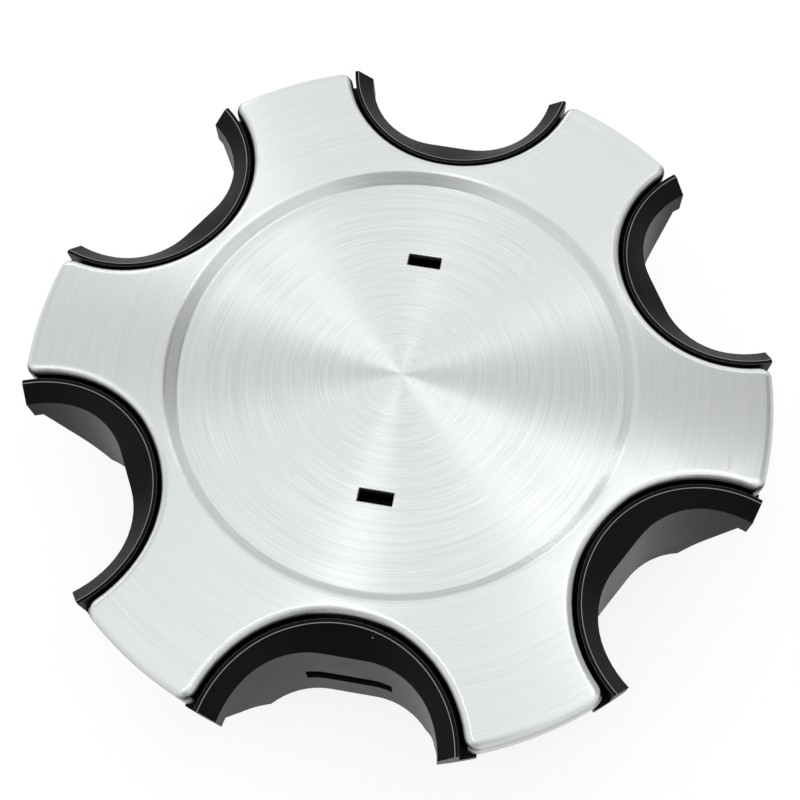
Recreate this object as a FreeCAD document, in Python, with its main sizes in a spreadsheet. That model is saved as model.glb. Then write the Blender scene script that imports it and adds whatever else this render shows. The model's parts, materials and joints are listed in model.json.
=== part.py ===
"""Wheel centre cap for a six-lug wheel, in millimetres.

A formed sheet-metal face plate with six notches for the lug nuts sits over a black moulded body.
Round each notch the body has a raised lip, a sloping band and a deep drafted wall.
Behind, six snap legs hold the cap in the wheel's centre bore, and a split wire ring presses them out.
The origin is on the axis, at the level of the leg tips, and +Z points out of the wheel.
"""
import FreeCAD, Part
import math
import os
import Sketcher
from FreeCAD import Placement, Rotation, Vector

# Driving dimensions
SIZES = {
    # The wheel that the cap fits
    "lug_circle": 139.7,  # circle on which the lug nuts sit, across
    "lug_count": 6,  # lug nuts, and so notches and lobes
    "bore_radius": 53.05,  # centre bore that the legs snap into
    # Heights
    "leg_reach": 11.0,  # leg tips below the foot of the notch walls
    "cap_depth": 31.8,  # foot of the notch walls to the top of the plate
    # Face plate
    "sheet": 1.0,  # thickness of the metal
    "plate_radius": 69.5,  # outside of the lobes
    "plate_notch": 23.2,  # notch in the plate
    "lobe_corner": 2.4,  # corners of the lobes, seen from above
    "edge_round": 1.8,  # roll of the metal into the flange
    "flange_depth": 6.5,  # top of the plate to the flange's lower edge
    "recess_land": 0.68,  # flat metal between a notch's rolled edge and the ring step
    "recess_slope": 1.85,  # width of the ring step, which leads down to a flat disc
    "recess_depth": 2.3,  # drop of that step
    "step_round": 1.2,  # rounding of the step's upper edge
    "disc_round": 0.3,  # rounding between the step and the disc
    "tab_radius": 24.5,  # the two emblem slots, from the axis
    "tab_length": 6.5,  # slot, along the circle
    "tab_width": 2.6,  # slot, across
    # Moulded body
    "bond_gap": 0.1,  # adhesive film between plate and body
    "wall": 2.5,  # thickness of the moulding
    "lip_drop": 1.1,  # plate top to the lip's crest
    "lip_gap": 0.6,  # plate's notch edge to the lip
    "lip_crest": 0.7,  # width of the lip's crest
    "band_drop": 3.1,  # height of the sloping band
    "notch_radius": 19.0,  # round sides of the notch wall
    "notch_back": 16.8,  # flat back of the wall, from the notch centre, under the band
    "notch_foot": 15.1,  # the same at the wall's foot
    "back_blend": 14.5,  # rounding between back and sides
    "horn_radius": 69.8,  # ends of the lips, from the axis
    "skirt_depth": 9.1,  # plate top to the underside of the lip's floor
    "wall_end": 68.2,  # slanting ends of the notch walls, from the axis, at the skirt
    "wall_end_foot": 61.3,  # the same at the wall's foot
    "pry_width": 16.0,  # slot for a tool, in one wall
    "pry_height": 5.0,
    "pry_drop": 18.0,  # plate top to the slot's upper edge
    "pocket_depth": 4.0,  # blind pockets under the emblem slots
    "pocket_ledge": 0.2,  # pocket smaller than the plate's slot, each side
    # Snap legs and ribs behind
    "leg_width": 16.0,
    "leg_thick": 2.6,
    "leg_play": 1.4,  # leg's outer face to the bore
    "barb_bite": 0.5,  # barb past the bore
    "barb_height": 5.5,  # leg tip to the barb's edge
    "rib_thick": 1.6,
    "rib_height": 5.0,
    "hub_radius": 10.0,  # ring in the middle where the ribs meet
    "gusset_depth": 7.5,  # rib behind each leg, at the deck
    "gusset_foot": 18.0,  # lower end of that rib, above the leg tips
    "gusset_spread": 5.0,  # from the leg's middle to each of its two ribs
    # Wire ring
    "wire": 2.6,  # thickness
    "wire_seat": 0.8,  # depth of its groove in the legs
    "wire_play": 0.1,  # wire to groove
    "ring_height": 9.5,  # leg tips to the wire's middle
    "ring_gap": 14.0,  # opening between the wire's ends
}

doc = FreeCAD.newDocument("wheel_center_cap")
sheet = doc.addObject("Spreadsheet::Sheet", "size")
for row, (alias, number) in enumerate(SIZES.items(), start=1):
    sheet.set(f"A{row}", alias.replace("_", " "))
    sheet.set(f"B{row}", str(number))
    sheet.setAlias(f"B{row}", alias)
doc.recompute()


def mm(text):
    """Value of an expression on the sheet's names."""
    result = sheet.evalExpression(text)
    return float(result.Value if hasattr(result, "Value") else result)


TURN = Vector(0, 0, 1)
PITCH = 360.0 / mm("lug_count")
FIRST_NOTCH = 90.0
FIRST_LOBE = FIRST_NOTCH - PITCH / 2
TOP = "size.leg_reach + size.cap_depth"
CLEAR = 1.0  # how far a cutting tool runs past what it cuts
NEAR = 0.001  # how close two lengths are that count as equal


def bind(item, **expressions):
    """Tie properties of a document object to the sheet; a double underscore stands for a dot."""
    for name, text in expressions.items():
        item.setExpression(name.replace("__", "."), text)
    return item


def feature(name, shape):
    item = doc.addObject("Part::Feature", name)
    item.Shape = shape
    return item


def join(kind, name, shapes):
    item = doc.addObject(kind, name)
    item.Shapes = shapes
    return item


def cut(name, base, tool):
    item = doc.addObject("Part::Cut", name)
    item.Base = base
    item.Tool = tool
    return item


def cylinder(name, radius, low, high):
    item = doc.addObject("Part::Cylinder", name)
    return bind(item, Radius=radius, Height=f"({high}) - ({low})", Placement__Base__z=low)


def frustum(name, low_radius, high_radius, low, high):
    item = doc.addObject("Part::Cone", name)
    bind(item, Radius1=low_radius, Radius2=high_radius)
    return bind(item, Height=f"({high}) - ({low})", Placement__Base__z=low)


def around(name, item, first=0.0):
    """Copies of an object's shape, one for each lug, turned about the cap's axis."""
    doc.recompute()
    angles = [first + PITCH * step for step in range(round(mm("lug_count")))]
    return feature(name, Part.makeCompound([item.Shape.rotated(Vector(), TURN, angle) for angle in angles]))


def at_notch(item):
    """Move a round solid to the centre of the notch that lies along +Y."""
    return bind(item, Placement__Base__y="size.lug_circle / 2")


def corner_arcs(radius, notch, corner):
    """Star outline: lobe ends on a circle, round notches, and lobe corners rounded tangent to both."""
    reach = mm("size.lug_circle") / 2
    far = radius - corner
    near = notch + corner
    along = (far**2 + reach**2 - near**2) / (2 * reach)
    aside = math.sqrt(far**2 - along**2)
    centre = Vector(aside, along, 0)
    notch_centre = Vector(0, reach, 0)
    on_lobe = centre * (radius / centre.Length)
    on_notch = notch_centre + (centre - notch_centre) * (notch / near)
    between = (on_lobe - centre).normalize() + (on_notch - centre).normalize()
    middle = centre + between.normalize() * corner
    return on_lobe, middle, on_notch, notch_centre


def star_wire(radius, notch, corner, height):
    lobe_end, corner_middle, notch_end, notch_centre = corner_arcs(radius, notch, corner)
    mirrored = [Vector(-point.x, point.y, 0) for point in (notch_end, corner_middle, lobe_end)]
    notch_middle = notch_centre - Vector(0, notch, 0)
    half_pitch = math.radians(FIRST_LOBE)
    lobe_middle = Vector(-radius * math.cos(half_pitch), radius * math.sin(half_pitch), 0)
    next_lobe_end = Placement(Vector(), Rotation(TURN, PITCH)).multVec(lobe_end)
    sector = [
        Part.Arc(lobe_end, corner_middle, notch_end),
        Part.Arc(notch_end, notch_middle, mirrored[0]),
        Part.Arc(mirrored[0], mirrored[1], mirrored[2]),
        Part.Arc(mirrored[2], lobe_middle, next_lobe_end),
    ]
    edges = []
    for step in range(round(mm("lug_count"))):
        for arc in sector:
            edge = arc.toShape()
            edge.rotate(Vector(), TURN, PITCH * step)
            edges.append(edge)
    wire = Part.Wire(Part.__sortEdges__(edges))
    wire.translate(Vector(0, 0, height))
    return wire


def star(name, inset, low, high):
    """Solid of the plate's outline, drawn in by an inset on all sides."""
    step = mm(inset)
    corner = max(mm("size.lobe_corner") - step, mm("size.sheet"))
    wire = star_wire(mm("size.plate_radius") - step, mm("size.plate_notch") + step, corner, mm(low))
    outline = feature(f"{name}_outline", Part.Face(wire))
    item = doc.addObject("Part::Extrusion", name)
    item.Base = outline
    item.DirMode = "Custom"
    item.Dir = TURN
    item.Solid = True
    return bind(item, LengthFwd=f"({high}) - ({low})")


def notch_wire(radius, back, blend, height):
    """Outline of a notch: a circle with a flat back towards the axis, and a blend between them."""
    reach = mm("size.lug_circle") / 2
    off = radius - blend
    inward = back - blend
    aside = math.sqrt(off**2 - inward**2)

    def place(x, toward_axis):
        return Vector(x, reach - toward_axis, height)

    side = place(aside * radius / off, inward * radius / off)
    flat = place(aside, back)
    slant = math.atan2(aside, inward) / 2
    blend_middle = place(aside + blend * math.sin(slant), inward + blend * math.cos(slant))
    mirror = [Vector(-point.x, point.y, point.z) for point in (flat, blend_middle, side)]
    return Part.Wire([
        Part.Arc(side, blend_middle, flat).toShape(),
        Part.LineSegment(flat, mirror[0]).toShape(),
        Part.Arc(mirror[0], mirror[1], mirror[2]).toShape(),
        Part.Arc(mirror[2], place(0, -radius), side).toShape(),
    ])


def lip_wire(radius, below, height):
    """Circle at the lip, split where the notch outline below it is split."""
    centre = Vector(0, mm("size.lug_circle") / 2, height)
    corners = []
    for vertex in below.OrderedVertexes:
        offset = Vector(vertex.X, vertex.Y, height) - centre
        corners.append(offset.normalize())
    following = corners[1:] + corners[:1]
    middles = [one + two for one, two in zip(corners, following)]
    middles[-1] = Vector(0, 1, 0)  # the last arc goes round the far side of the notch
    edges = []
    for directions in zip(corners, middles, following):
        points = [centre + direction.normalize() * radius for direction in directions]
        edges.append(Part.Arc(*points).toShape())
    return Part.Wire(edges)


def sketch_on(body, role, name):
    """Sketch on one of a body's own origin planes."""
    sketch = body.newObject("Sketcher::SketchObject", name)
    plane = next(item for item in body.Origin.OriginFeatures if item.Role == role)
    sketch.AttachmentSupport = [(plane, "")]
    sketch.MapMode = "FlatFace"
    return sketch


def upright_sketch(name):
    """Sketch in the XZ plane: its x is the distance from the axis and its y the height."""
    sketch = doc.addObject("Sketcher::SketchObject", name)
    sketch.Placement = Placement(Vector(), Rotation(Vector(1, 0, 0), 90))
    return sketch


def polygon(sketch, corners):
    """Closed outline through corners that are given as pairs of expressions; "0" lies on an axis."""
    points = [Vector(mm(x), mm(y), 0) for x, y in corners]
    lines = [sketch.addGeometry(Part.LineSegment(start, end))
             for start, end in zip(points, points[1:] + points[:1])]
    for line, following in zip(lines, lines[1:] + lines[:1]):
        sketch.addConstraint(Sketcher.Constraint("Coincident", line, 2, following, 1))
    for index, pair in zip(lines, corners):
        for kind, axis, text in zip(("DistanceX", "DistanceY"), (-2, -1), pair):
            if text == "0":
                sketch.addConstraint(Sketcher.Constraint("PointOnObject", index, 1, axis))
                continue
            number = sketch.addConstraint(Sketcher.Constraint(kind, -1, 1, index, 1, mm(text)))
            sketch.setExpression(f"Constraints[{number}]", text)
    return sketch


# Heights above the leg tips
FOOT = "size.leg_reach"
DECK = f"{TOP} - size.sheet - size.bond_gap"
DECK_UNDER = f"{DECK} - size.wall"
RECESS_DECK = f"{DECK} - size.recess_depth"
TUB_UNDER = f"{RECESS_DECK} - size.wall"
LIP = f"{TOP} - size.lip_drop"
BAND_LOW = f"{LIP} - size.band_drop"
LIP_FLOOR = f"{TOP} - size.flange_depth - size.bond_gap"
SKIRT = f"{TOP} - size.skirt_depth"

# Distances from the axis
STEP_ANGLE = "atan(size.recess_depth / size.recess_slope)"
NOTCH_EDGE = "size.lug_circle / 2 - size.plate_notch"
STEP_ROUND = f"size.step_round * tan({STEP_ANGLE} / 2)"
STEP_TOP = f"{NOTCH_EDGE} - size.edge_round - size.recess_land - {STEP_ROUND}"
DISC = f"{STEP_TOP} - size.recess_slope"
LEG_OUTER = "size.bore_radius - size.leg_play"
LEG_INNER = f"{LEG_OUTER} - size.leg_thick"
BARB = "size.bore_radius + size.barb_bite"
RING_RADIUS = f"{LEG_INNER} + size.wire_seat - size.wire_play - size.wire / 2"


def recess_radius(inset, extra="0"):
    """The recess's lower radius, on a surface that lies an inset below the plate's face."""
    return f"{DISC} + ({inset}) * tan({STEP_ANGLE} / 2) + {extra}"


def recess(name, inset):
    low = f"{TOP} - size.recess_depth - ({inset})"
    return frustum(name, recess_radius(inset), recess_radius(inset, "size.recess_slope"), low,
                   f"{TOP} - ({inset})")


# Face plate: one sheet, its notches and flange formed in one blow
def edges_at(shape, wanted):
    return [f"Edge{index}" for index, edge in enumerate(shape.Edges, start=1) if wanted(edge)]


def level_edge(height, low_radius, high_radius):
    """Test for edges at one height that lie within a range of distance from the axis."""
    def wanted(edge):
        distances = [math.hypot(vertex.X, vertex.Y) for vertex in edge.Vertexes]
        level = edge.BoundBox.ZLength < NEAR and abs(edge.BoundBox.ZMax - height) < NEAR
        return level and low_radius < min(distances) and max(distances) < high_radius
    return wanted


def ring_edge(height, radius):
    """Test for edges at one height that lie on a circle about the axis."""
    return level_edge(height, radius - NEAR, radius + NEAR)


plate = doc.addObject("PartDesign::Body", "face_plate")
plate.BaseFeature = star("plate_blank", "0", f"{TOP} - size.flange_depth", TOP)
doc.recompute()

recess_sketch = polygon(sketch_on(plate, "XZ_Plane", "recess_section"), [
    ("0", f"{TOP} - size.recess_depth"),
    (DISC, f"{TOP} - size.recess_depth"),
    (STEP_TOP, TOP),
    ("0", TOP),
])
recess_groove = plate.newObject("PartDesign::Groove", "recess")
recess_groove.Profile = recess_sketch
recess_groove.ReferenceAxis = (recess_sketch, ["V_Axis"])
recess_groove.Angle = 360
plate.Tip = recess_groove
doc.recompute()



def rounding(name, base, wanted, radius):
    """Fillet on the plate, on those edges of its last feature that a test picks."""
    item = plate.newObject("PartDesign::Fillet", name)
    item.Base = (base, edges_at(base.Shape, wanted))
    bind(item, Radius=radius)
    doc.recompute()
    return item


outer_edge = level_edge(mm(TOP), mm(STEP_TOP) + NEAR, mm("size.lug_circle"))
rolled = rounding("rolled_edge", recess_groove, outer_edge, "size.edge_round")
step = rounding("step_edge", rolled, ring_edge(mm(TOP), mm(STEP_TOP)), "size.step_round")
disc_edge = ring_edge(mm(f"{TOP} - size.recess_depth"), mm(DISC))
formed = rounding("disc_edge", step, disc_edge, "size.disc_round")

shell = plate.newObject("PartDesign::Thickness", "sheet_shell")
flange_low = mm(f"{TOP} - size.flange_depth")
under = [f"Face{index}" for index, face in enumerate(formed.Shape.Faces, start=1)
         if face.BoundBox.ZMax < flange_low + NEAR]
shell.Base = (formed, under)
shell.Mode = 0
shell.Join = 0
shell.Reversed = True
bind(shell, Value="size.sheet")
plate.Tip = shell
doc.recompute()

slot_sketch = sketch_on(plate, "XY_Plane", "emblem_slots")
for side in ("", "-"):
    near = f"{side}(size.tab_radius - size.tab_width / 2)"
    far = f"{side}(size.tab_radius + size.tab_width / 2)"
    polygon(slot_sketch, [("-size.tab_length / 2", near), ("size.tab_length / 2", near),
                          ("size.tab_length / 2", far), ("-size.tab_length / 2", far)])
slots = plate.newObject("PartDesign::Pocket", "slots")
slots.Profile = slot_sketch
slots.Type = "ThroughAll"
slots.Reversed = True
plate.Tip = slots
doc.recompute()


# Moulded body, upper part: deck and skirt under the plate, lips and their floors round the notches
deck_inset = "size.sheet + size.bond_gap"
plateau = doc.addObject("PartDesign::Body", "plateau")
plateau.BaseFeature = star("plateau_blank", deck_inset, SKIRT, DECK)
doc.recompute()
plateau_bevel = plateau.newObject("PartDesign::Chamfer", "plateau_bevel")
deck_edge = level_edge(mm(DECK), 0, mm("size.lug_circle"))
plateau_bevel.Base = (plateau.Group[0], edges_at(plateau.BaseFeature.Shape, deck_edge))
bind(plateau_bevel, Size="size.edge_round - size.sheet")
plateau.Tip = plateau_bevel
hollow = star("hollow", f"{deck_inset} + size.wall", f"{SKIRT} - size.wall", DECK_UNDER)
lip_outer = "size.plate_notch - size.lip_gap"
lip = at_notch(cylinder("lip", lip_outer, SKIRT, LIP))
floor_radius = f"size.plate_notch + {deck_inset} + size.wall / 2"
lip_floor = at_notch(cylinder("lip_floor", floor_radius, SKIRT, LIP_FLOOR))
lips = around("lips", join("Part::MultiFuse", "lip_and_floor", [lip, lip_floor]))
horn_disc = cylinder("horn_disc", "size.horn_radius", SKIRT, TOP)
trimmed_lips = join("Part::MultiCommon", "trimmed_lips", [lips, horn_disc])
upper = cut("upper", join("Part::MultiFuse", "deck_and_lips", [plateau, trimmed_lips]), hollow)


# Notch walls: a drafted outline, and the same outline further out by the wall's thickness
def back_at(height):
    """Distance of the wall's flat back from the notch centre, which shrinks with depth."""
    share = (mm(BAND_LOW) - height) / (mm(BAND_LOW) - mm(FOOT))
    return mm("size.notch_back") + share * (mm("size.notch_foot") - mm("size.notch_back"))


def wall_outline(height, outset):
    return notch_wire(mm("size.notch_radius") + outset, back_at(height) + outset,
                      mm("size.back_blend") + outset, height)


def loft(name, wires):
    return feature(name, Part.makeLoft(wires, True, True))


thickness = mm("size.wall")
walls = around("walls", loft("wall", [wall_outline(mm(text), thickness) for text in (FOOT, SKIRT)]))
wall_cone = frustum("wall_cone", "size.wall_end_foot", "size.wall_end", FOOT, SKIRT)
trimmed_walls = join("Part::MultiCommon", "trimmed_walls", [walls, wall_cone])
band_foot = wall_outline(mm(BAND_LOW), 0)
notches = around("notches", loft("notch", [
    wall_outline(mm(FOOT) - CLEAR, 0),
    band_foot,
    lip_wire(mm(f"{lip_outer} - size.lip_crest"), band_foot, mm(LIP)),
]))

# Behind the deck: the floor of the recess, pocket bosses, ribs and the ring where they meet
tub = recess("tub", f"{deck_inset} + size.wall")
deck_recess = recess("deck_recess", deck_inset)


def block(name, length, width, low, high, across):
    """Box centred on the Y axis at a distance from the cap's axis."""
    item = doc.addObject("Part::Box", name)
    bind(item, Length=length, Width=width, Height=f"({high}) - ({low})")
    return bind(item, Placement__Base__x=f"-({length}) / 2", Placement__Base__z=low,
                Placement__Base__y=f"{across} - ({width}) / 2")


bosses = []
pockets = []
pocket_floor = f"{RECESS_DECK} - size.pocket_depth"
for side, sign in (("far", ""), ("near", "-")):
    place = f"{sign}(size.tab_radius)"
    bosses.append(block(f"boss_{side}", "size.tab_length + 2 * size.rib_thick",
                        "size.tab_width + 2 * size.rib_thick", f"{pocket_floor} - size.rib_thick",
                        f"{TUB_UNDER} + size.wall / 2", place))
    pockets.append(block(f"pocket_{side}", "size.tab_length - 2 * size.pocket_ledge",
                         "size.tab_width - 2 * size.pocket_ledge", pocket_floor,
                         f"{RECESS_DECK} + size.bond_gap", place))

# Ribs and legs run into the deck and the tub by a quarter of the wall, so that they join
RIB_TOP = f"{DECK_UNDER} + size.wall / 4"
TUB_JOINT = f"{TUB_UNDER} + size.wall / 4"
LEG_MIDDLE = f"{LEG_INNER} + size.leg_thick / 2"
rib_low = f"{TUB_UNDER} - size.rib_height"
rib = upright_sketch("rib_outline")
polygon(rib, [
    ("size.hub_radius", rib_low),
    (LEG_MIDDLE, rib_low),
    (LEG_MIDDLE, RIB_TOP),
    (recess_radius(deck_inset), RIB_TOP),
    (recess_radius(deck_inset), TUB_JOINT),
    ("size.hub_radius", TUB_JOINT),
])
gusset = upright_sketch("gusset_outline")
polygon(gusset, [
    (LEG_MIDDLE, "size.gusset_foot"),
    (LEG_MIDDLE, RIB_TOP),
    (f"{LEG_INNER} - size.gusset_depth", RIB_TOP),
    (f"{LEG_INNER} - size.gusset_depth", f"{RIB_TOP} - size.wall"),
    (f"{LEG_INNER} - size.rib_thick", "size.gusset_foot"),
])


def web(name, outline, aside):
    """Rib of even thickness from an upright outline, moved sideways from the lobe's middle."""
    item = doc.addObject("Part::Extrusion", name)
    item.Base = outline
    item.DirMode = "Custom"
    item.Dir = Vector(0, 1, 0)
    item.Solid = True
    item.Symmetric = True
    return bind(item, LengthFwd="size.rib_thick", Placement__Base__y=aside)


hub_rim = cylinder("hub_rim", "size.hub_radius + size.rib_thick / 2", rib_low, TUB_JOINT)
hub_hole = cylinder("hub_hole", "size.hub_radius - size.rib_thick / 2", rib_low, TUB_UNDER)
hub = cut("hub", hub_rim, hub_hole)

# Snap legs: a bowed leg with a barb that catches behind the bore, and a groove for the wire
leg_outline = polygon(upright_sketch("leg_outline"), [
    (LEG_INNER, "0"),
    (LEG_OUTER, "0"),
    (BARB, "size.barb_height"),
    (LEG_OUTER, f"size.barb_height + {BARB} - ({LEG_OUTER})"),
    (LEG_OUTER, RIB_TOP),
    (LEG_INNER, RIB_TOP),
])
leg = doc.addObject("Part::Revolution", "leg")
leg.Source = leg_outline
leg.Axis = TURN
leg.Base = Vector()
leg.Solid = True
leg.Symmetric = True
bind(leg, Angle=f"2 * asin(size.leg_width / 2 / ({LEG_OUTER}))")
leg_webs = [
    web("rib", rib, "0"),
    web("gusset_left", gusset, "size.gusset_spread"),
    web("gusset_right", gusset, "-size.gusset_spread"),
]
legs = around("legs", join("Part::MultiFuse", "leg_and_webs", [leg] + leg_webs))


def wire_ring(name, radius):
    item = doc.addObject("Part::Torus", name)
    return bind(item, Radius1=RING_RADIUS, Radius2=radius, Placement__Base__z="size.ring_height")


groove = wire_ring("wire_groove", "size.wire / 2 + size.wire_play")
pry_back = "-size.lug_circle / 2 + size.notch_back + size.wall / 2"
pry_reach = "4 * size.wall"  # well through the wall on both sides
pry_top = f"{TOP} - size.pry_drop"
pry_slot = block("pry_slot", "size.pry_width", pry_reach, f"{pry_top} - size.pry_height", pry_top, pry_back)

solid = join("Part::MultiFuse", "moulding", [upper, trimmed_walls, tub, hub, legs] + bosses)
for name, tool in [("with_notches", notches), ("with_recess", deck_recess),
                   ("with_pocket_far", pockets[0]), ("with_pocket_near", pockets[1]),
                   ("with_groove", groove), ("cap_body", pry_slot)]:
    solid = cut(name, solid, tool)
cap_body = solid

# Wire ring, open towards the notch along +Y
spring_ring = wire_ring("spring_ring", "size.wire / 2")
half_gap = f"asin(size.ring_gap / 2 / ({RING_RADIUS}))"
spring_ring.Placement.Rotation = Rotation(TURN, FIRST_NOTCH)
bind(spring_ring, Angle3=f"360 deg - 2 * {half_gap}",
     Placement__Rotation__Angle=f"{FIRST_NOTCH} deg + {half_gap}")

doc.recompute()
for item in doc.Objects:
    if {"Invalid", "Error"} & set(item.State):
        raise RuntimeError(f"{item.Name} failed: {item.State}")

os.makedirs("parts", exist_ok=True)
for item in (plate, cap_body, spring_ring):
    item.Label = item.Name
    shape = item.Shape
    if shape.isNull() or not shape.isValid():
        raise RuntimeError(f"{item.Label} has no valid shape")
    shape.exportStep(f"parts/{item.Label}.step")
    print(item.Label, len(shape.Solids), "solid", round(shape.Volume), "mm3", shape.BoundBox)
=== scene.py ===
# %% [markdown]
# # A brushed centre cap for a six-lug wheel
# The cap has a star-shaped plate of brushed aluminium over a black moulding, and a wire ring behind it.
# Its shapes come from the solid model, in metres, with the origin on the axis and +Z out of the wheel.
# This lesson gives the solids smooth shading and finishes, and then sets up light and camera.

# %% Load the solid model
import json
import math

import bpy
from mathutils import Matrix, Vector

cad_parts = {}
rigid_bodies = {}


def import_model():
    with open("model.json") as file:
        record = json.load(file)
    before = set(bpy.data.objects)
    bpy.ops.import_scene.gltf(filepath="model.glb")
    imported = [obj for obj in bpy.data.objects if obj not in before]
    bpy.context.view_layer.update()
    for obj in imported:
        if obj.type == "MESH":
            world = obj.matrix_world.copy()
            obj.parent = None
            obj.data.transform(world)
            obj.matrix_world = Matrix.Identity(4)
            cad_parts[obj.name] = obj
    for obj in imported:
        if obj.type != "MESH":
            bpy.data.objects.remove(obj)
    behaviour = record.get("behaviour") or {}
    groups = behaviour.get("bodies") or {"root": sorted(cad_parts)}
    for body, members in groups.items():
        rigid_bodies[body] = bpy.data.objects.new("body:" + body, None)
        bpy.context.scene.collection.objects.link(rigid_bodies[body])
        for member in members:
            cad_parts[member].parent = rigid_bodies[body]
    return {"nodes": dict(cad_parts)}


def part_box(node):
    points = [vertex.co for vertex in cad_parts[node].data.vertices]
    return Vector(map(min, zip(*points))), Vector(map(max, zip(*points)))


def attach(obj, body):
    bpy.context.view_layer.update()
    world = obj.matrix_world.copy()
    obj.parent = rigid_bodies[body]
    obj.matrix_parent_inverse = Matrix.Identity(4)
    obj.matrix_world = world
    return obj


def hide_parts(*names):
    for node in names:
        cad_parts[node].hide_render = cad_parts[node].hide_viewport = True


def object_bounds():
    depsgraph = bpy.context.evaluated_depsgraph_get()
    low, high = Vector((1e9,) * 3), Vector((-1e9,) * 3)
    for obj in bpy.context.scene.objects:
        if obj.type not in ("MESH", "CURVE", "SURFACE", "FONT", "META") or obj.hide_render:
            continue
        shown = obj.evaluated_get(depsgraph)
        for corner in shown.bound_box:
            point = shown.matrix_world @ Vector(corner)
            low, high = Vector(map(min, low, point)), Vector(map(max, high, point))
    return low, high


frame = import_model()
cad_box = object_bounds()
MM = 0.001
plate_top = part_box("face_plate")[1]
print("whole cap, mm:", [round((high - low) / MM, 1) for low, high in zip(*cad_box)])

# %% [markdown]
# ## Smooth skins for the three pieces
# A solid model arrives as loose triangles, and each one would catch the light like a facet.
# We could model the star again by hand, but the solids already have the true rolled edges and drafts.
# So each is copied, the normals that came with it are cleared, and its triangles are welded.
# Faces that meet at a small angle are shaded as one, and a Weighted Normal modifier keeps flat faces flat.

# %% Copy and weld one piece
SMOOTH_ANGLE = math.radians(32)
WELD = 0.001 * MM


def pick(piece):
    bpy.ops.object.select_all(action="DESELECT")
    piece.select_set(True)
    bpy.context.view_layer.objects.active = piece


def skin(node, name):
    """Welded copy of a solid, which stands for it in the picture."""
    pick(frame["nodes"][node])
    bpy.ops.object.duplicate()
    copy = bpy.context.view_layer.objects.active
    copy.name = name
    bpy.ops.object.parent_clear(type="CLEAR_KEEP_TRANSFORM")
    bpy.ops.mesh.customdata_custom_splitnormals_clear()
    bpy.ops.object.mode_set(mode="EDIT")
    bpy.ops.mesh.select_all(action="SELECT")
    bpy.ops.mesh.remove_doubles(threshold=WELD)
    bpy.ops.object.mode_set(mode="OBJECT")
    bpy.ops.object.shade_smooth_by_angle(angle=SMOOTH_ANGLE)
    weighted = copy.modifiers.new("flat faces stay flat", "WEIGHTED_NORMAL")
    weighted.keep_sharp = True
    bpy.ops.object.modifier_apply(modifier=weighted.name)
    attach(copy, "root")
    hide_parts(node)
    print(name, len(copy.data.polygons), "faces")
    return copy


# %% Make the three skins
plate = skin("face_plate", "brushed_plate")
moulding = skin("cap_body", "black_moulding")
wire = skin("spring_ring", "spring_wire")

# %% [markdown]
# ## True directions for the curved faces
# A solid's curved faces become long, thin triangles, and averaging their directions leaves smudges.
# We know the curves, though: a step that circles the axis, and notches that are part circle and part flat.
# So the direction at each corner is worked out from the curve itself and set as that corner's normal.

# %% One function that sets normals by a rule
CLOSE = math.cos(math.radians(48))


def set_normals(piece, rule):
    """Set the normal that a rule gives for each face corner, where it is close to the face's own."""
    mesh = piece.data
    normals = [corner.vector.copy() for corner in mesh.corner_normals]
    changed = 0
    for face in mesh.polygons:
        for corner in face.loop_indices:
            given = rule(face, mesh.vertices[mesh.loops[corner].vertex_index].co)
            normal = Vector(given).normalized() if given else None
            if normal and normal.dot(face.normal) > CLOSE:
                normals[corner] = normal
                changed += 1
    mesh.normals_split_custom_set(normals)
    print(piece.name, changed, "corners given their true direction")


# %% The step round the disc
STEP_TOP = 43.6 * MM
STEP_SLOPE = 1.85 * MM
STEP_DEPTH = 2.3 * MM
STEP_ROUND = 1.2 * MM
DISC_ROUND = 0.3 * MM
LOOKS_UP = 0.2
step_angle = math.atan2(STEP_DEPTH, STEP_SLOPE)
disc_edge = STEP_TOP - STEP_SLOPE
round_outer = STEP_TOP + STEP_ROUND * math.tan(step_angle / 2)
round_inner = disc_edge - DISC_ROUND * math.tan(step_angle / 2)


def step_rule(face, point):
    """On the step and its two roundings the face tilts to the axis; beside them it is level."""
    underneath = face.normal.z < LOOKS_UP or face.center.z < plate_top[2] - STEP_DEPTH - WELD
    if underneath or face.center.xy.length > round_outer:
        return None
    reach = point.xy.length
    outer_sine = (round_outer - reach) / STEP_ROUND
    inner_sine = (reach - round_inner) / DISC_ROUND
    sine = max(0.0, min(outer_sine, inner_sine, math.sin(step_angle)))
    inward = -point.xy.normalized() * sine
    return inward.x, inward.y, math.sqrt(1.0 - sine * sine)


set_normals(plate, step_rule)

# %% The bands and walls of the notches
NOTCHES = 6
NOTCH_REACH = 69.85 * MM
LIP_EDGE = 21.9 * MM
NOTCH_RADIUS = 19.0 * MM
NOTCH_BACK = 16.8 * MM
NOTCH_FOOT = 15.1 * MM
BACK_BLEND = 14.5 * MM
BAND_DROP = 3.1 * MM
WALL_FOOT = 11.0 * MM
lip_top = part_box("cap_body")[1][2]
band_low = lip_top - BAND_DROP
draft = (NOTCH_BACK - NOTCH_FOOT) / (band_low - WALL_FOOT)


def notch_angle(point):
    """Angle about the cap's axis of the notch that lies nearest to a point."""
    pitch = math.tau / NOTCHES
    return (math.floor(math.atan2(point.y, point.x) / pitch) + 0.5) * pitch


def from_centre(point, angle):
    """Where a point lies from a notch's centre: sideways, and towards the cap's axis."""
    aside = point.y * math.cos(angle) - point.x * math.sin(angle)
    return aside, NOTCH_REACH - point.x * math.cos(angle) - point.y * math.sin(angle)


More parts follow.
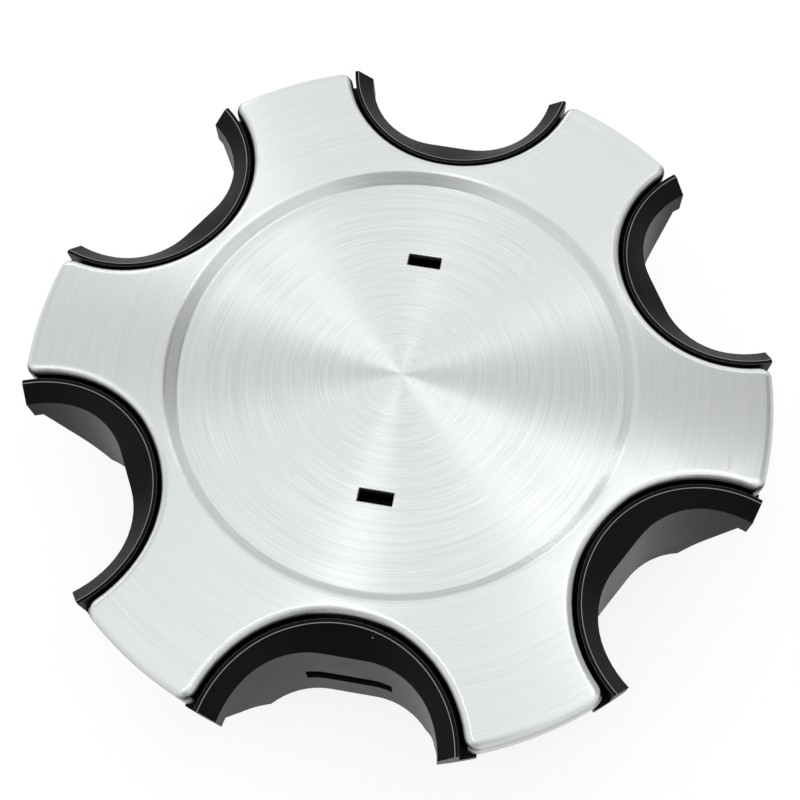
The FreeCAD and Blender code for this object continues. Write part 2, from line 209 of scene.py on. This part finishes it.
def wall_way(aside, toward, back):
    """Direction from a wall into the notch: straight off the flat back, to a centre on round parts."""
    blend_toward = back - BACK_BLEND
    blend_aside = math.sqrt((NOTCH_RADIUS - BACK_BLEND) ** 2 - blend_toward ** 2)
    past_flat = abs(aside) - blend_aside
    if past_flat < 0.0:
        return 0.0, -1.0
    if math.atan2(past_flat, toward - blend_toward) < math.atan2(blend_aside, blend_toward):
        aside = math.copysign(past_flat, aside)
        toward -= blend_toward
    length = math.hypot(aside, toward)
    return -aside / length, -toward / length


def notch_rule(face, point):
    """On the walls the normal points into the notch, and on the band above them it also tilts up."""
    angle = notch_angle(face.center)
    if math.hypot(*from_centre(face.center, angle)) > LIP_EDGE:
        return None
    aside, toward = from_centre(point, angle)
    if face.center.z < band_low:
        way = wall_way(aside, toward, NOTCH_BACK - draft * max(0.0, band_low - point.z))
        tilt = max(0.0, -way[1]) * draft
    else:
        way = wall_way(aside, toward, NOTCH_BACK)
        if point.z > band_low + BAND_DROP / 2:
            way = (-aside / LIP_EDGE, -toward / LIP_EDGE)
        tilt = face.normal.z / face.normal.xy.length
    x = -way[0] * math.sin(angle) - way[1] * math.cos(angle)
    y = way[0] * math.cos(angle) - way[1] * math.sin(angle)
    return x, y, tilt


set_normals(moulding, notch_rule)

# %% [markdown]
# ## Shader maths in Python
# A finish is a formula over the surface: how far from the axis a point lies, how rough the brushing is there.
# Wiring each sum by hand hides the formula, so a small class wraps one socket and turns + - * / into nodes.

# %% One class for sockets


class Socket:
    """An output in a material. Arithmetic on it adds Math nodes to the material."""

    def __init__(self, tree, output):
        self.tree = tree
        self.output = output

    def node(self, kind, settings, values, output=0):
        """Any node: its settings are set first, then the values or links of its sockets."""
        made = self.tree.nodes.new(kind)
        for name, value in settings.items():
            setattr(made, name, value)
        for name, value in values.items():
            if isinstance(value, Socket):
                self.tree.links.new(value.output, made.inputs[name])
            else:
                made.inputs[name].default_value = value
        return Socket(self.tree, made.outputs[output])

    def math(self, operation, *values):
        return self.node("ShaderNodeMath", {"operation": operation}, dict(enumerate(values)))

    def __add__(self, other):
        return self.math("ADD", self, other)

    def __sub__(self, other):
        return self.math("SUBTRACT", self, other)

    def __rsub__(self, other):
        return self.math("SUBTRACT", other, self)

    def __mul__(self, other):
        return self.math("MULTIPLY", self, other)

    def __truediv__(self, other):
        return self.math("DIVIDE", self, other)

    def clamp(self):
        return self.math("MINIMUM", self.math("MAXIMUM", self, 0.0), 1.0)

    __radd__ = __add__
    __rmul__ = __mul__


def finish_for(piece, name, **constants):
    """New material on a piece, with constant sockets set: its shader, and the x, y and z of a point."""
    material = bpy.data.materials.new(name)
    material.use_nodes = True
    shader = material.node_tree.nodes["Principled BSDF"]
    for socket, value in constants.items():
        shader.inputs[socket.replace("_", " ")].default_value = value
    piece.data.materials.clear()
    piece.data.materials.append(material)
    start = Socket(material.node_tree, None)
    point = start.node("ShaderNodeTexCoord", {}, {}, "Object")
    axes = [start.node("ShaderNodeSeparateXYZ", {}, {"Vector": point}, axis) for axis in "XYZ"]
    return shader, point, axes


def feed(shader, **sockets):
    """Link sockets to a shader's inputs."""
    for socket, value in sockets.items():
        value.tree.links.new(value.output, shader.inputs[socket.replace("_", " ")])
    print(shader.name, "is fed", ", ".join(sockets), "from", len(shader.id_data.nodes), "nodes")


def noise(vector, scale, detail=2.0, roughness=0.5):
    values = {"Vector": vector, "Scale": scale, "Detail": detail, "Roughness": roughness}
    return vector.node("ShaderNodeTexNoise", {}, values, "Fac")


def blend(factor, low, high):
    """Colour between two colours, each given as a socket or as red, green and blue."""
    low, high = [side if isinstance(side, Socket) else (*side, 1.0) for side in (low, high)]
    return factor.node("ShaderNodeMix", {"data_type": "RGBA"}, {"Factor": factor, 6: low, 7: high}, 2)


def bump(height, strength, depth, normal=None):
    values = {"Strength": strength, "Distance": depth, "Height": height}
    if normal is not None:
        values["Normal"] = normal
    return height.node("ShaderNodeBump", {}, values, "Normal")


# %% [markdown]
# ## Brushed aluminium
# The plate was turned under an abrasive pad, so its scratches run in circles about the axis.
# Light spreads across scratches and hardly along them, which gives the fan of bright rays from the middle.
# Anisotropic gloss does that: its direction circles the axis by itself, and a quarter turn spreads light
# outwards. The scratches are noise stretched round the circle: the point's direction and its distance are
# fed to one noise, so the pattern has no seam. It is calmer on the lobes than on the disc.

# %% The plate's finish
SCRATCH_PER_M = 9000.0
SCRATCH_TURNS = 3.0
STREAK_PER_M = 5000.0
SCRATCH_SHARE = 0.45
FINER_NOISE = 0.6
BRUSH_CONTRAST = 4.4
LOBES_FROM = 41.0 * MM
LOBES_FADE = 4.0 * MM
LOBES_CALM = 0.5
PLATE_ROUGH = 0.27
ROUGH_SPREAD = 0.08
AXIS_CLEAR = 0.01 * MM
PLATE_DARK = (0.755, 0.775, 0.773)
PLATE_PALE = (0.935, 0.945, 0.945)
metal, _, (plate_x, plate_y, _) = finish_for(
    plate, "brushed_aluminium", Metallic=1.0, Anisotropic=0.93, Anisotropic_Rotation=0.25)


def apart(first, second):
    """Length of a step that is known by its two sides."""
    return first.math("SQRT", first * first + second * second)


def notch_distance(x, y):
    """Distance from the nearest notch's centre: the angle is folded into one sixth of a turn first."""
    turn = x.math("FLOORED_MODULO", x.math("ARCTAN2", y, x), math.tau / NOTCHES) - math.pi / NOTCHES
    reach = apart(x, y)
    return apart(reach * turn.math("COSINE", turn) - NOTCH_REACH, reach * turn.math("SINE", turn))


distance = apart(plate_x, plate_y) + AXIS_CLEAR
ray_x = plate_x / distance
ray_y = plate_y / distance


def round_noise(turns, per_metre, detail):
    """Noise drawn out along circles about the axis."""
    values = {"X": ray_x * turns, "Y": ray_y * turns, "Z": distance * per_metre}
    return noise(distance.node("ShaderNodeCombineXYZ", {}, values), 1.0, detail, FINER_NOISE)


scratches = round_noise(SCRATCH_TURNS, SCRATCH_PER_M, detail=2.0)
streaks = round_noise(SCRATCH_TURNS / 2, STREAK_PER_M, detail=3.0)
on_lobes = ((distance - LOBES_FROM) / LOBES_FADE).clamp()
contrast = (1.0 - on_lobes * LOBES_CALM) * BRUSH_CONTRAST
brushing = scratches * SCRATCH_SHARE + streaks * (1.0 - SCRATCH_SHARE)
tone = (brushing - 0.5) * contrast + 0.5
plate_colour = blend(tone.clamp(), PLATE_DARK, PLATE_PALE)

# %% [markdown]
# One thin scratch shows on a lobe, with a short hook at its end. It is worked out as the distance from two
# straight lines, which stays sharp at any size.

# %% The scratch on a lobe
SCRATCH_HOOK = (61.1 * MM, -2.7 * MM)
SCRATCH_BEND = (62.0 * MM, -2.8 * MM)
SCRATCH_END = (61.7 * MM, -9.1 * MM)
SCRATCH_HALF = 0.12 * MM
SCRATCH_ROUGH = 0.5
SCRATCH_PALE = (0.98, 0.99, 0.99)


def line_mask(start, end, half_width):
    """One within half a width of a straight line, fading to zero at twice that."""
    run = [end[0] - start[0], end[1] - start[1]]
    length_squared = run[0] ** 2 + run[1] ** 2
    from_x = plate_x - start[0]
    from_y = plate_y - start[1]
    share = ((from_x * run[0] + from_y * run[1]) / length_squared).clamp()
    gap = apart(from_x - share * run[0], from_y - share * run[1])
    return (2.0 - gap / half_width).clamp()


scratch = line_mask(SCRATCH_HOOK, SCRATCH_BEND, SCRATCH_HALF)
scratch = scratch.math("MAXIMUM", scratch, line_mask(SCRATCH_BEND, SCRATCH_END, SCRATCH_HALF))
plate_colour = blend(scratch, plate_colour, SCRATCH_PALE)

# %% [markdown]
# Where the sheet rolls over into its flange, the pad no longer touched it, so the metal is smoother there.
# Its colour is also darkened there as painted shade.
# Beside a notch the colour falls off to nearly black, as a painted reflection of the black lip.
# The upright part of the normal finds these places. The step also tilts, and gets half of the effect.
# A Bevel node softens the shading where the sheet begins to bend.

# %% Edges that turn down: painted shade, and a painted reflection by the notches
EDGES_FROM = 46.0 * MM
EDGES_FADE = 2.0 * MM
NOTCH_EDGES = 26.5 * MM
UPRIGHT_FLAT = 0.90
UPRIGHT_FADE = 0.55
NOTCH_FADE = 0.26
TURNED_GLOSS = 0.45
PLATE_SOFTEN = 0.5 * MM
PLATE_SOFTEN_SAMPLES = 8
STEP_SHADE = 0.5
PAINTED_EDGE_SHADE_GREY = (0.42, 0.43, 0.43)
PAINTED_LIP_REFLECTION_BLACK = (0.05, 0.05, 0.05)
BRUSH_BUMP = 0.12
BRUSH_DEPTH = 0.01 * MM
facing = plate_x.node("ShaderNodeNewGeometry", {}, {}, "Normal")
upright = plate_x.node("ShaderNodeSeparateXYZ", {}, {"Vector": facing}, "Z")
outside_step = ((distance - EDGES_FROM) / EDGES_FADE).clamp() * (1.0 - STEP_SHADE) + STEP_SHADE
by_notch = ((NOTCH_EDGES - notch_distance(plate_x, plate_y)) / EDGES_FADE).clamp()
turned = (UPRIGHT_FLAT - upright) / (by_notch * (NOTCH_FADE - UPRIGHT_FADE) + UPRIGHT_FADE)
turned = turned.clamp() * outside_step
soft_edges = plate_x.node("ShaderNodeBevel", {"samples": PLATE_SOFTEN_SAMPLES}, {"Radius": PLATE_SOFTEN})
# Painted shade where the sheet turns down and on the step, and nearly black paint beside the notches as a
# painted reflection of the lip.
plate_colour = blend(turned, plate_colour, blend(by_notch, PAINTED_EDGE_SHADE_GREY, PAINTED_LIP_REFLECTION_BLACK))
plate_rough = (scratches * ROUGH_SPREAD + PLATE_ROUGH) * (1.0 - turned * TURNED_GLOSS)
feed(metal, Base_Color=plate_colour, Roughness=plate_rough + scratch * SCRATCH_ROUGH,
     Normal=bump(scratches, BRUSH_BUMP, BRUSH_DEPTH, soft_edges))

# %% [markdown]
# ## Black moulding
# The moulding is satin black plastic with a fine grain from its mould. It looks black where it faces the
# camera and grey where it is seen at a low angle, because plastic reflects its pale surroundings there.
# Real edges are never knife sharp, so a Bevel node rounds the shading of each edge by part of a millimetre.

# %% The moulding's finish
GRAIN_PER_M = 2600.0
CLOUD_PER_M = 60.0
MOULDING_SOFTEN = 0.18 * MM
MOULDING_SOFTEN_SAMPLES = 6
MOULDING_DARK = (0.002, 0.002, 0.0025)
MOULDING_PALE = (0.005, 0.005, 0.0055)
MOULDING_ROUGH = 0.30
CLOUD_ROUGH = 0.10
GRAIN_ROUGH = 0.06
plastic, plastic_point, (cap_x, cap_y, cap_z) = finish_for(
    moulding, "black_moulding", Specular_IOR_Level=0.08)
grain = noise(plastic_point, GRAIN_PER_M, detail=2.0)
cloud = noise(plastic_point, CLOUD_PER_M, detail=3.0)
rounded = grain.node("ShaderNodeBevel", {"samples": MOULDING_SOFTEN_SAMPLES}, {"Radius": MOULDING_SOFTEN})
plastic_colour = blend(cloud, MOULDING_DARK, MOULDING_PALE)
plastic_rough = cloud * CLOUD_ROUGH + grain * GRAIN_ROUGH + MOULDING_ROUGH

# %% [markdown]
# A painted highlight runs as a thin line round the inner edge of each lip, and more faintly round the outer
# edge.
# The distance from the nearest notch's centre gives both lines. One pale speck lies on the front band.

# %% Painted highlights on the lip edges, and a speck
HIGHLIGHT_HALF = 0.055 * MM
LIP_CREST = 0.7 * MM
OUTER_HIGHLIGHT = 0.35
HIGHLIGHT_FADE = 1.6
CREST_REACH = 3.0
HIGHLIGHT_LEAST = 0.5
HIGHLIGHT_PATCHES = 0.6
LIP_HIGHLIGHT_AND_SPECK_GREY = (0.45, 0.45, 0.46)
GRAIN_BUMP = 0.08
GRAIN_DEPTH = 0.02 * MM
SPECK = (4.5 * MM, -49.4 * MM)
SPECK_RADIUS = 0.06 * MM
from_notch = notch_distance(cap_x, cap_y)


def highlight_line(from_centre_to_line):
    """Thin painted highlight line on the lip, at a distance from the notch's centre."""
    off_line = from_notch.math("ABSOLUTE", from_notch - from_centre_to_line)
    return (HIGHLIGHT_FADE - off_line / HIGHLIGHT_HALF).clamp()


# The lines round the lip edges are a painted highlight, patchy along their length; the speck takes the same
# grey.
near_crest = ((cap_z - lip_top) / HIGHLIGHT_HALF + CREST_REACH).clamp()
lip_highlight = highlight_line(LIP_EDGE) + highlight_line(LIP_EDGE + LIP_CREST) * OUTER_HIGHLIGHT
lip_highlight = lip_highlight.clamp() * near_crest * (cloud * HIGHLIGHT_PATCHES + HIGHLIGHT_LEAST).clamp()
speck = (2.0 - apart(cap_x - SPECK[0], cap_y - SPECK[1]) / SPECK_RADIUS).clamp()
plastic_colour = blend(lip_highlight.math("MAXIMUM", lip_highlight, speck), plastic_colour, LIP_HIGHLIGHT_AND_SPECK_GREY)
feed(plastic, Base_Color=plastic_colour, Roughness=plastic_rough,
     Normal=bump(grain, GRAIN_BUMP, GRAIN_DEPTH, rounded))

# %% [markdown]
# ## Spring wire
# The ring behind the legs is drawn steel wire: grey, with faint small marks.

# %% The wire's finish
MARKS_PER_M = 900.0
MARKS_BUMP = 0.1
MARKS_DEPTH = 0.01 * MM
MARKS_ROUGH = 0.15
WIRE_ROUGH = 0.25
WIRE_DARK = (0.38, 0.38, 0.39)
WIRE_PALE = (0.55, 0.55, 0.55)
steel, steel_point, _ = finish_for(wire, "spring_wire", Metallic=1.0)
marks = noise(steel_point, MARKS_PER_M, detail=3.0)
feed(steel, Base_Color=blend(marks, WIRE_DARK, WIRE_PALE), Roughness=marks * MARKS_ROUGH + WIRE_ROUGH,
     Normal=bump(marks, MARKS_BUMP, MARKS_DEPTH))

# %% [markdown]
# ## Table, light and camera
# The cap stands on a pale table in a bright room. Brushed metal shows each lamp as a ray from its middle:
# the ray's direction lies half-way between the lamp and the camera, seen from above.
# So each lamp is placed by the direction of the ray that it draws, and by how far it tilts towards that side.
# The table glows for the camera and for mirrors, so that it is white there, and still takes the cap's shadow.

# %% The table
FLOOR_SIZE = 4.0
bpy.ops.object.select_all(action="DESELECT")
bpy.ops.mesh.primitive_plane_add(size=FLOOR_SIZE, location=(0.0, 0.0, cad_box[0][2]))
table = bpy.context.view_layer.objects.active
table.name = "table"
TABLE_GLOW = 0.80
TABLE_LIT = (0.93, 0.93, 0.93)
TABLE_SEEN = (0.25, 0.25, 0.25)
BLACK = (0.0, 0.0, 0.0)
WHITE = (1.0, 1.0, 1.0)
table_shader, table_point, _ = finish_for(table, "pale_table", Roughness=0.7, Emission_Strength=TABLE_GLOW)
seen = table_point.node("ShaderNodeLightPath", {}, {}, "Is Camera Ray")
mirrored = table_point.node("ShaderNodeLightPath", {}, {}, "Is Glossy Ray")
glow = (seen + mirrored).clamp()
feed(table_shader, Base_Color=blend(glow, TABLE_LIT, TABLE_SEEN), Emission_Color=blend(glow, BLACK, WHITE))

# %% The camera, as in the photograph
IMAGE = 800.0
FOCAL_PIXELS = 1160.7
CENTRE_PIXEL = (469.5, 396.4)
SENSOR = 36.0
CLIP_START = 0.01
CAMERA_PLACE = (23.99 * MM, -86.38 * MM, 238.98 * MM)
CAMERA_TURN = (23.102, -0.964, 9.461)
camera_turn = [math.radians(angle) for angle in CAMERA_TURN]
bpy.ops.object.camera_add(location=CAMERA_PLACE, rotation=camera_turn)
camera = bpy.context.view_layer.objects.active
camera.data.sensor_width = SENSOR
camera.data.lens = SENSOR * FOCAL_PIXELS / IMAGE
camera.data.shift_x = 0.5 - CENTRE_PIXEL[0] / IMAGE
camera.data.shift_y = CENTRE_PIXEL[1] / IMAGE - 0.5
camera.data.clip_start = CLIP_START
bpy.context.scene.camera = camera

# %% The lamps
LAMP_DISTANCE = 0.9
eye = [CAMERA_PLACE[0], CAMERA_PLACE[1], CAMERA_PLACE[2] - plate_top[2]]
eye_length = math.sqrt(sum(part * part for part in eye))
eye = [part / eye_length for part in eye]


def lamp(name, ray_angle, tilt, size, power):
    """Square lamp whose reflection in the brushing is a ray at an angle about the axis."""
    side = (math.cos(math.radians(ray_angle)), math.sin(math.radians(ray_angle)))
    across = [tilt * side[0] - eye[0], tilt * side[1] - eye[1]]
    up = math.sqrt(1.0 - across[0] ** 2 - across[1] ** 2)
    place = [LAMP_DISTANCE * part for part in (*across, up)]
    turn = (math.acos(up), 0.0, math.atan2(across[1], across[0]) + math.pi / 2)
    bpy.ops.object.light_add(type="AREA", location=place, rotation=turn)
    made = bpy.context.view_layer.objects.active
    made.name = name
    made.data.size = size
    made.data.energy = power
    print(name, [round(part, 2) for part in place])


lamp("lamp_right", 140.0, -0.55, 0.18, 0.17)
lamp("lamp_back_left", 141.0, 0.50, 0.14, 0.19)
lamp("lamp_left", 163.0, 0.60, 0.08, 0.22)
lamp("lamp_far_left", 160.0, -0.50, 0.12, 0.16)
lamp("lamp_front", 87.0, -0.60, 0.12, 0.20)
lamp("lamp_far_right", 28.0, 0.50, 0.10, 0.10)

# %% [markdown]
# The room is bright on most sides and dim to the left and right, which leaves the two dark rays on the disc.
# The dim part is measured from the direction that a mirror on the table would show the camera. It is weaker
# on the left, and fades towards the horizon. The ceiling is a little brighter than the walls.
# Below the camera the room is darker, and the bands of the front notches show that.

# %% The room's light
ROOM_BRIGHT = 0.88
ROOM_DIM = 0.12
ROOM_DARK = 0.30
CEILING_FROM = 0.85
DIM_RAY = math.radians(6.0)
DIM_WIDTH = 0.25
DIM_MIDDLE = 0.88
DIM_LEAN = 0.9
DIM_RISE = 0.5
FRONT_WAY = (0.04, -0.75, 0.66)
FRONT_FROM = 0.87
FRONT_FADE = 0.09
MIRROR_BLUR = 0.01
ROOM_TINT = (0.985, 1.0, 1.0, 1.0)
world = bpy.data.worlds.new("bright_room")
world.use_nodes = True
sky = Socket(world.node_tree, None)
way = sky.node("ShaderNodeTexCoord", {}, {}, "Generated")
way_x, way_y, way_z = [sky.node("ShaderNodeSeparateXYZ", {}, {"Vector": way}, axis) for axis in "XYZ"]
aside_x = way_x + eye[0]
aside_y = way_y + eye[1]
along = aside_x * math.cos(DIM_RAY) + aside_y * math.sin(DIM_RAY)
across = aside_y * math.cos(DIM_RAY) - aside_x * math.sin(DIM_RAY)
share = along * along / (along * along + across * across + MIRROR_BLUR)
dim = ((share - (1.0 - DIM_WIDTH)) / DIM_WIDTH).clamp()
dim = dim * (along * DIM_LEAN + DIM_MIDDLE).clamp() * (way_z / DIM_RISE).clamp()
front = way_x * FRONT_WAY[0] + way_y * FRONT_WAY[1] + way_z * FRONT_WAY[2]
front = ((front - FRONT_FROM) / FRONT_FADE).clamp()
ceiling = (way_z - CEILING_FROM).clamp()
level = ROOM_BRIGHT + ceiling - dim * (ROOM_BRIGHT - ROOM_DIM)
level = level + front * (ROOM_DARK - level)
room = world.node_tree.nodes["Background"]
room.inputs["Color"].default_value = ROOM_TINT
feed(room, Strength=level)
bpy.context.scene.world = world
bpy.context.scene.view_settings.view_transform = "Standard"
